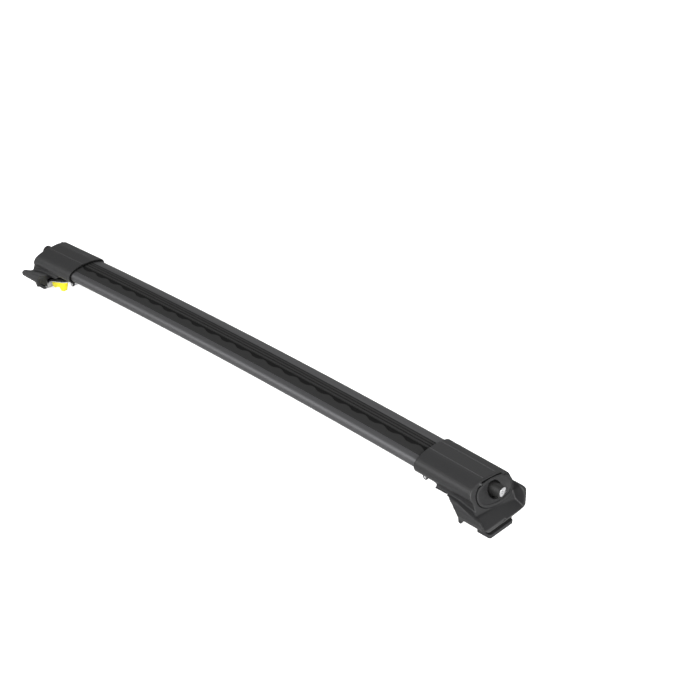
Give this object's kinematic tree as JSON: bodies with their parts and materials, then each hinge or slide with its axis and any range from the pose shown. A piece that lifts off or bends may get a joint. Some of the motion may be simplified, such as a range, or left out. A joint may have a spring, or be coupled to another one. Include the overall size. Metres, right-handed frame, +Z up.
{
  "type": "roof rack crossbar",
  "caption": "Bowed aerodynamic crossbar on two lockable feet that clamp raised roof rails with hinged, lined steel straps.",
  "frame": {"origin": "on the ground under the middle of the bar, in the middle of its wing section", "axes": "+X along the bar towards the right foot, +Y from the nose to the tail of the wing section, +Z up"},
  "size_m": [1.212, 0.108, 0.0989],
  "materials": {
    "bar": "satin dark anodised",
    "strip": "matte with fine grip ribs",
    "housing": "fine grained",
    "seal": "matte",
    "plug": "matte",
    "screws": "zinc plated",
    "cover": "fine grained",
    "lock_housing": "satin",
    "lock_plug": "brushed face",
    "pins": "ground",
    "strap": "rolled stainless",
    "liner": "ribbed",
    "tab": "smooth yellow",
    "bolt": "zinc plated",
    "nut": "zinc plated",
    "pad": "grey, matte",
    "carrier": "matte"
  },
  "bodies": {
    "rack": {"bar_extrusion": "bar", "cover_strip": "strip", "foot_housing_right": "housing", "foot_housing_left": "housing", "mouth_seal_right": "seal", "mouth_seal_left": "seal", "bar_end_plug_right": "plug", "bar_end_plug_left": "plug", "bar_screws_right": "screws", "bar_screws_left": "screws", "cover_hinge_pin_right": "pins", "cover_hinge_pin_left": "pins", "strap_hinge_pin_right": "pins", "strap_hinge_pin_left": "pins", "bolt_washer_right": "bolt", "bolt_washer_left": "bolt", "barrel_nut_right": "nut", "barrel_nut_left": "nut", "rail_pad_right": "pad", "rail_pad_left": "pad", "pad_carrier_right": "carrier", "pad_carrier_left": "carrier"},
    "cover_right": {"end_cover_right": "cover", "lock_housing_right": "lock_housing"},
    "cover_left": {"end_cover_left": "cover", "lock_housing_left": "lock_housing"},
    "lock_right": {"lock_plug_right": "lock_plug"},
    "lock_left": {"lock_plug_left": "lock_plug"},
    "strap_right": {"clamp_strap_right": "strap", "strap_liner_right": "liner", "strap_tab_right": "tab"},
    "strap_left": {"clamp_strap_left": "strap", "strap_liner_left": "liner", "strap_tab_left": "tab"},
    "bolt_right": {"clamp_bolt_right": "bolt"},
    "bolt_left": {"clamp_bolt_left": "bolt"}
  },
  "joints": [
    {"name": "strap_swing_right", "type": "hinge", "parent": "rack", "child": "strap_right", "pos_m": [0.463, 0, 0.0535], "axis": [0, 1, 0], "range_deg": [0, 65]},
    {"name": "cover_open_right", "type": "hinge", "parent": "rack", "child": "cover_right", "pos_m": [0.56848, 0.00691, 0.08504], "axis": [-0.1219, -0.9925, 0], "range_deg": [0, 75]},
    {"name": "lock_turn_right", "type": "hinge", "parent": "cover_right", "child": "lock_right", "pos_m": [0.583, 0.006, 0.072], "axis": [1, 0, 0], "range_deg": [0, 90]},
    {"name": "bolt_spin_right", "type": "hinge", "parent": "rack", "child": "bolt_right", "pos_m": [0.5625, 0, 0.03], "axis": [0, 0, 1], "continuous": true},
    {"name": "strap_swing_left", "type": "hinge", "parent": "rack", "child": "strap_left", "pos_m": [-0.463, 0, 0.0535], "axis": [0, -1, 0], "range_deg": [0, 65]},
    {"name": "cover_open_left", "type": "hinge", "parent": "rack", "child": "cover_left", "pos_m": [-0.56848, 0.00691, 0.08504], "axis": [-0.1219, 0.9925, 0], "range_deg": [0, 75]},
    {"name": "lock_turn_left", "type": "hinge", "parent": "cover_left", "child": "lock_left", "pos_m": [-0.583, 0.006, 0.072], "axis": [1, 0, 0], "range_deg": [-90, 0]},
    {"name": "bolt_spin_left", "type": "hinge", "parent": "rack", "child": "bolt_left", "pos_m": [-0.5625, 0, 0.03], "axis": [0, 0, 1], "continuous": true}
  ]
}
